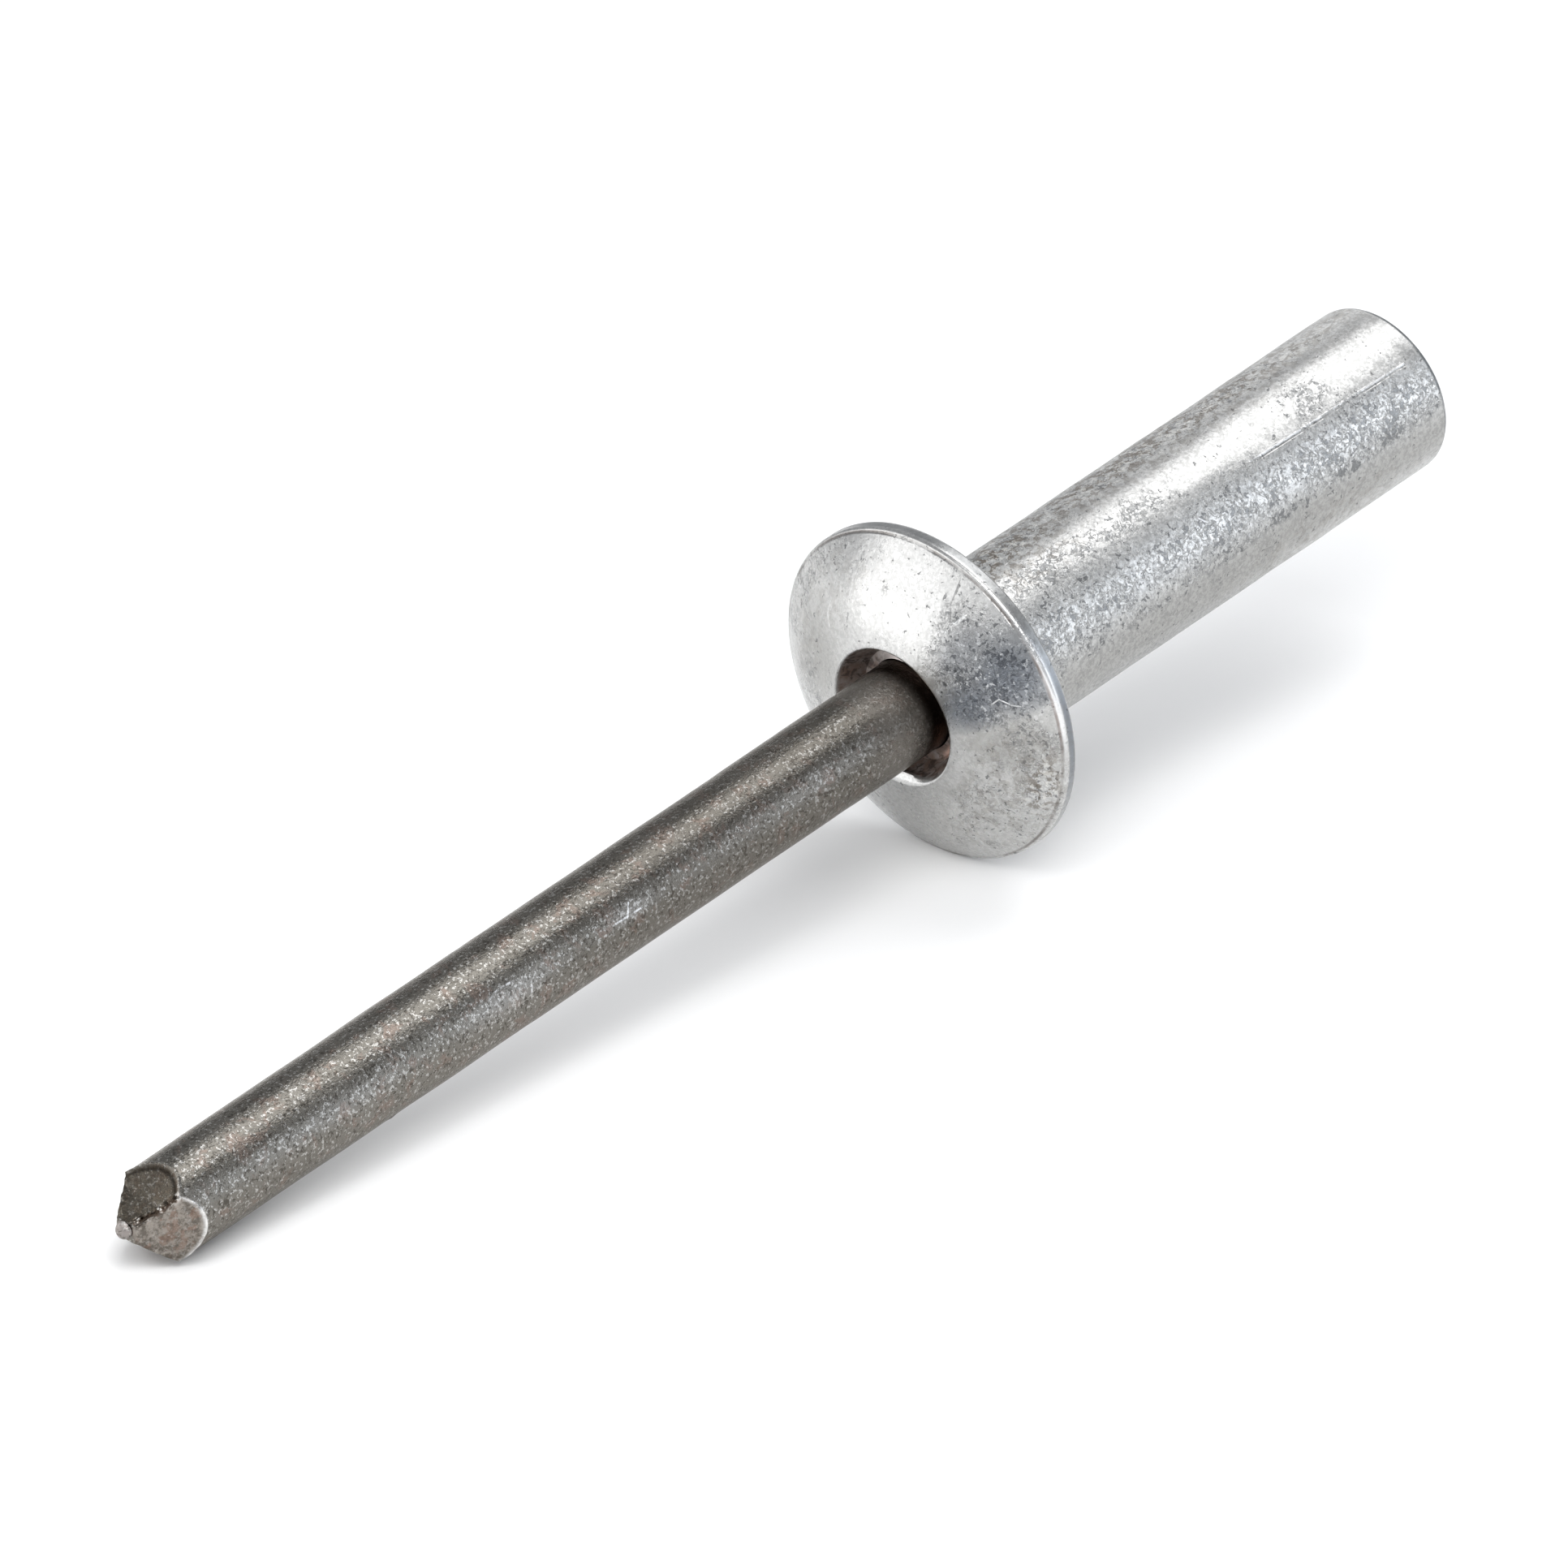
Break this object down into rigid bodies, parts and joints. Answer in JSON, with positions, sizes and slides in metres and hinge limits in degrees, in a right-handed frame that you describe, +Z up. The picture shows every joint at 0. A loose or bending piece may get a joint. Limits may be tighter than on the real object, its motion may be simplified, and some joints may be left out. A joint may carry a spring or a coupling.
{
  "type": "closed-end blind rivet",
  "caption": "Unset closed-end blind rivet: domed head, plain sealed shank and a steel mandrel with a pinched point, lying at rest.",
  "frame": {"origin": "centre of the head's bearing face, on the rivet's axis", "axes": "+X is the rivet's heading along the floor, from the mandrel's point towards the closed end; +Z up; the axis itself climbs 6.74 degrees towards the closed end, because the rivet lies on its head's rim and its mandrel's point"},
  "size_m": [0.0495, 0.0096, 0.0097],
  "materials": {
    "body_aluminium": "satin, tumbled, with fine dark pits and light scratches",
    "mandrel_steel": "dark drawn wire with a fine bright grain"
  },
  "bodies": {
    "root": {"rivet_body": "body_aluminium", "mandrel": "mandrel_steel"}
  },
  "joints": []
}
